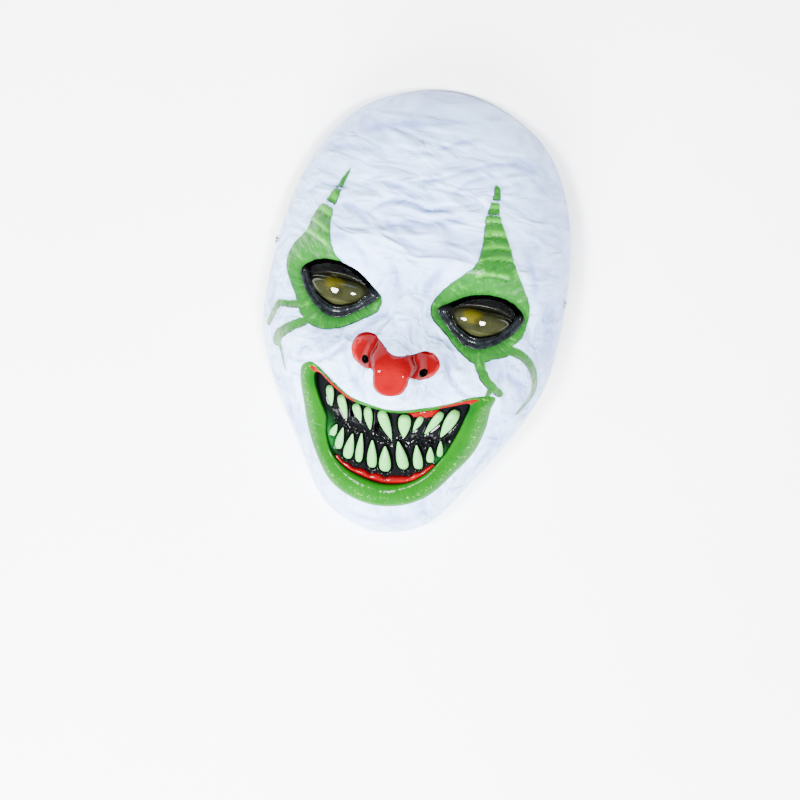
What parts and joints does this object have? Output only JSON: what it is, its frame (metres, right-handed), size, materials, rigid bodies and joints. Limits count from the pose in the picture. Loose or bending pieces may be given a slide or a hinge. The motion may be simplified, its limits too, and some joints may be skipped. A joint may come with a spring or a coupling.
{
  "type": "demon clown mask",
  "caption": "Moulded full-face mask of a grinning demon clown with a red nose, green lips, fangs and bulging eyes, on an elastic strap.",
  "frame": {"origin": "middle of the plane that the rim rests on, under the middle of the face", "axes": "+X the viewer's right, +Y from the chin to the forehead, +Z out of the face"},
  "size_m": [0.1772, 0.267, 0.0961],
  "materials": {
    "white_vinyl": "moulded soft vinyl, sprayed satin white with green patches round the eyes",
    "red_gloss": "gloss red lacquer on moulded vinyl",
    "green_paint": "satin green paint on moulded vinyl",
    "black_gloss": "gloss black paint on moulded vinyl",
    "lid_black": "gloss charcoal paint on moulded vinyl",
    "glow_green": "satin pale green glow paint",
    "olive_dome": "clear gloss over olive plastic",
    "white_elastic": "woven elastic",
    "rivet_steel": "plain pressed steel"
  },
  "bodies": {
    "root": {"face_shell": "white_vinyl", "nose": "red_gloss", "lips": "green_paint", "gums": "black_gloss", "lower_gum": "red_gloss", "upper_tooth_1": "glow_green", "upper_tooth_2": "glow_green", "upper_tooth_3": "glow_green", "upper_tooth_4": "glow_green", "upper_tooth_5": "glow_green", "upper_tooth_6": "glow_green", "upper_tooth_7": "glow_green", "upper_tooth_8": "glow_green", "upper_tooth_9": "glow_green", "lower_tooth_1": "glow_green", "lower_tooth_2": "glow_green", "lower_tooth_3": "glow_green", "lower_tooth_4": "glow_green", "lower_tooth_5": "glow_green", "lower_tooth_6": "glow_green", "lower_tooth_7": "glow_green", "lower_tooth_8": "glow_green", "lower_tooth_9": "glow_green", "lower_tooth_10": "glow_green", "eyelid_right": "lid_black", "eyelid_left": "lid_black", "eyeball_right": "olive_dome", "eyeball_left": "olive_dome", "strap": "white_elastic", "rivet_right": "rivet_steel", "rivet_left": "rivet_steel"}
  },
  "joints": []
}
